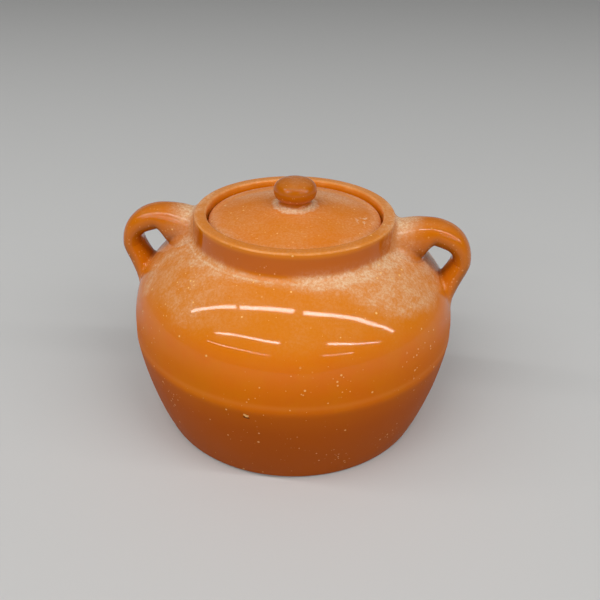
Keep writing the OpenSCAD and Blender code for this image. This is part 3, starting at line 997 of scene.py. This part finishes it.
def lid_glaze():
    """The lid: a cloudy film of dust, thicker behind and at the edge, thick round the knob's neck,
    and a few crumbs on the right."""
    t = Tree(bpy.data.materials.new("lid_glaze"))
    where, (x, y, z) = t.place()
    r = (x * x + y * y) ** 0.5
    color = t.blend(0.5, glaze_color(t, where), GLAZE_HIGH)
    ragged = t.noise(where, 70, 5, 0.65, 0.07) - 0.5
    cloud = t.ramp(t.noise(where, 24, 4, 0.6, 0.77), 0.3, 0.7)
    up = t.ramp(t.facing_up(), 0.5, 0.9)
    neck = 1 - t.ramp(r + ragged * (14 * MM), KNOB_NECK_R + 2.5 * MM, KNOB_NECK_R + 7 * MM)
    halo = 1 - t.ramp(r + ragged * (30 * MM), 14 * MM, 34 * MM)
    edge = t.ramp(r + ragged * (12 * MM), 50 * MM, 60 * MM)
    behind = t.ramp(y + ragged * (30 * MM), 0, 30 * MM)
    away = ((x - 50 * MM) ** 2.0 + (y + 8 * MM) ** 2.0) ** 0.5
    crumbs = (1 - t.ramp(away, 5 * MM, 9 * MM)) * t.ramp(t.noise(where, 330, 3, 0.6, 0.4), 0.52, 0.6)
    dust = 0.05 + cloud * 0.16 + halo * 0.08 + edge * 0.26 + behind * 0.3
    dust = (dust * up).most(neck * 0.95).most(crumbs * 0.9)
    return finish_glaze(t, where, color, dust, 0.8)


def knob_glaze():
    """The knob: browner than the lid and glossy, with dust round its foot and a little on top."""
    t = Tree(bpy.data.materials.new("knob_glaze"))
    where, (x, y, z) = t.place()
    color = t.blend(0.6, glaze_color(t, where), BROWN_GLAZE_AND_SHADE)
    ragged = t.noise(where, 90, 5, 0.65, 0.07) - 0.5
    up = t.ramp(t.facing_up(), 0.6, 1.0)
    foot = 1 - t.ramp(z + ragged * (3 * MM), KNOB_Z, KNOB_Z + 2.5 * MM)
    dust = up * (0.1 + t.ramp(ragged, -0.1, 0.2) * 0.16)
    return finish_glaze(t, where, color, dust.most(foot * 0.85), 1.15)


# ---- Stage ----
CAMERA_PITCH = math.radians(30.63)
CAMERA_ROLL = math.radians(1.07)
CAMERA_YAW = math.radians(0.59)
CAMERA_AZIMUTH = math.radians(6.2)
CAMERA_BACK = 458.1 * MM
CAMERA_UP = 356.3 * MM
LENS_MM = 42.0


def place_camera():
    """The camera stands back and up from the foot's centre and looks down by the pitch, right by
    the yaw and askew by the roll. All of it is then turned about Z by the azimuth."""
    forward = np.array([math.sin(CAMERA_YAW) * math.cos(CAMERA_PITCH),
                        math.cos(CAMERA_YAW) * math.cos(CAMERA_PITCH), -math.sin(CAMERA_PITCH)])
    right = np.array([math.cos(CAMERA_YAW), -math.sin(CAMERA_YAW), 0])
    up = np.cross(right, forward)
    right, up = (math.cos(CAMERA_ROLL) * right + math.sin(CAMERA_ROLL) * up,
                 math.cos(CAMERA_ROLL) * up - math.sin(CAMERA_ROLL) * right)
    at = Matrix((
        (right[0], up[0], -forward[0], 0),
        (right[1], up[1], -forward[1], -CAMERA_BACK),
        (right[2], up[2], -forward[2], CAMERA_UP),
        (0, 0, 0, 1),
    ))
    data = bpy.data.cameras.new("camera")
    data.sensor_width = 36
    data.lens = LENS_MM
    data.clip_start = 0.01
    camera = bpy.data.objects.new("camera", data)
    bpy.context.scene.collection.objects.link(camera)
    camera.matrix_world = Matrix.Rotation(CAMERA_AZIMUTH, 4, "Z") @ at
    bpy.context.scene.camera = camera


# Strip lamps overhead: name, width, brightness, and the two ends in x and y
STRIPS_Z = 2.2
STRIPS = [
    ("near_left_strip", 0.12, 18, (-3.5, -0.4), (-1.24, -0.65)),
    ("near_strip", 0.12, 19, (-1.13, -0.67), (0.05, -0.77)),
    ("near_right_strip", 0.12, 19, (0.25, -0.8), (4.7, -0.6)),
    ("middle_left_strip", 0.07, 24, (-2.7, -1.88), (-0.2, -2.16)),
    ("middle_right_strip", 0.07, 24, (1.3, -2.1), (4.9, -1.83)),
    ("far_left_strip", 0.1, 12, (-4.3, -2.95), (-0.72, -3.9)),
    ("far_right_strip", 0.1, 12, (1.88, -3.83), (3.97, -3.65)),
]

# The floor's half width, and its colour as it is seen and as it bounces light
FLOOR_HALF = 6.0
FLOOR_SHOWN = (0.64, 0.64, 0.63, 1)
FLOOR_BOUNCE = (0.2, 0.2, 0.2, 1)

# Levels of the room, and the share of them and the haze that reflections see
CEILING_FRONT = 0.3
CEILING_BACK = 0.2
LOW_FRONT = 0.2
LOW_BACK = 0.45
REFLECTED = 0.25
HAZE = 0.3

# The soft lamp in front
FILL_BRIGHTNESS = 1.3
FILL_HIGH = 1.4
FILL_ENDS = (-1, -2.3), (1, -2.3)
FILL_Z = 0.9


def add_lamp(name, width, brightness, start, end, height):
    """A level rectangular lamp from start to end, in x and y, that faces the pot. Its power is pi
    times its area times its brightness."""
    start, end = np.array([*start, height]), np.array([*end, height])
    length = np.linalg.norm(end - start)
    along = (end - start) / length
    middle = (start + end) / 2
    back = middle - [0, 0, 0.1]
    back = unit(back - along * (back @ along))
    across = np.cross(back, along)
    data = bpy.data.lights.new(name, "AREA")
    data.shape = "RECTANGLE"
    data.size, data.size_y = length, width
    data.energy = math.pi * length * width * brightness
    lamp = bpy.data.objects.new(name, data)
    bpy.context.scene.collection.objects.link(lamp)
    rows = [(*row, middle[k]) for k, row in enumerate(np.stack([along, across, back], 1))]
    lamp.matrix_world = Matrix(rows + [(0, 0, 0, 1)])
    return lamp


def add_floor():
    """A pale floor, seen as pale by the camera and in reflections, that bounces little light."""
    mesh = bpy.data.meshes.new("floor")
    corners = [(-1, -1), (1, -1), (1, 1), (-1, 1)]
    mesh.from_pydata([(x * FLOOR_HALF, y * FLOOR_HALF, 0) for x, y in corners], [], [(0, 1, 2, 3)])
    floor = bpy.data.objects.new("floor", mesh)
    bpy.context.scene.collection.objects.link(floor)
    t = Tree(bpy.data.materials.new("floor_paper"))
    path = t.node("ShaderNodeLightPath").socket.node
    seen = Wire(t, path.outputs["Is Camera Ray"]).most(Wire(t, path.outputs["Is Glossy Ray"]))
    seen = seen.most(Wire(t, path.outputs["Is Transmission Ray"]))
    shader = t.node("ShaderNodeBsdfDiffuse", None, {"Color": t.blend(seen, FLOOR_BOUNCE, FLOOR_SHOWN)})
    t.node("ShaderNodeOutputMaterial", None, {"Surface": shader})
    mesh.materials.append(t.owner)


def light_room():
    """Light from all round: brighter overhead towards the camera, and brighter low down behind the
    pot. Reflections see the room at the share REFLECTED of its level, with a haze round the horizon.
    Strip lamps hang overhead, and a soft lamp in front fills in, out of reflections."""
    world = bpy.data.worlds.new("room")
    bpy.context.scene.world = world
    t = Tree(world)
    way = t.node("ShaderNodeTexCoord", output="Generated")
    parts = t.node("ShaderNodeSeparateXYZ", None, {"Vector": way}).socket.node
    y, z = Wire(t, parts.outputs["Y"]), Wire(t, parts.outputs["Z"])
    low = LOW_FRONT + t.ramp(y, 0.1, 0.7) * (LOW_BACK - LOW_FRONT)
    high = CEILING_FRONT - t.ramp(y, -0.3, 0.5) * (CEILING_FRONT - CEILING_BACK)
    level = low + t.ramp(z, 0.2, 0.45) * (high - low)
    path = t.node("ShaderNodeLightPath", output="Is Glossy Ray")
    haze = (1 - t.ramp(abs(z), 0, 0.35)) * HAZE
    level = level + path * (level * (REFLECTED - 1) + haze)
    light = t.node("ShaderNodeBackground", None, {"Strength": level})
    t.node("ShaderNodeOutputWorld", None, {"Surface": light})
    for name, width, brightness, start, end in STRIPS:
        add_lamp(name, width, brightness, start, end, STRIPS_Z)
    add_lamp("front_fill", FILL_HIGH, FILL_BRIGHTNESS, *FILL_ENDS, FILL_Z).visible_glossy = False


def dress(piece, material, body, node):
    """Gives a piece its material and its body, and hides the imported part that it stands for."""
    piece.data.materials.append(material)
    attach(piece, body)
    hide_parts(node)


place_camera()
light_room()
add_floor()

ear = handle_rings()
strap_glaze = handle_glaze()
dress(make_jar(), jar_glaze(), "pot", "pot_body")
dress(make_handle("right_ear", ear, 1), strap_glaze, "pot", "right_handle")
dress(make_handle("left_ear", ear, -1), strap_glaze, "pot", "left_handle")
dress(make_lid(), lid_glaze(), "lid", "lid_disc")
dress(make_knob(), knob_glaze(), "lid", "lid_knob")

bpy.context.scene.view_settings.view_transform = "Standard"
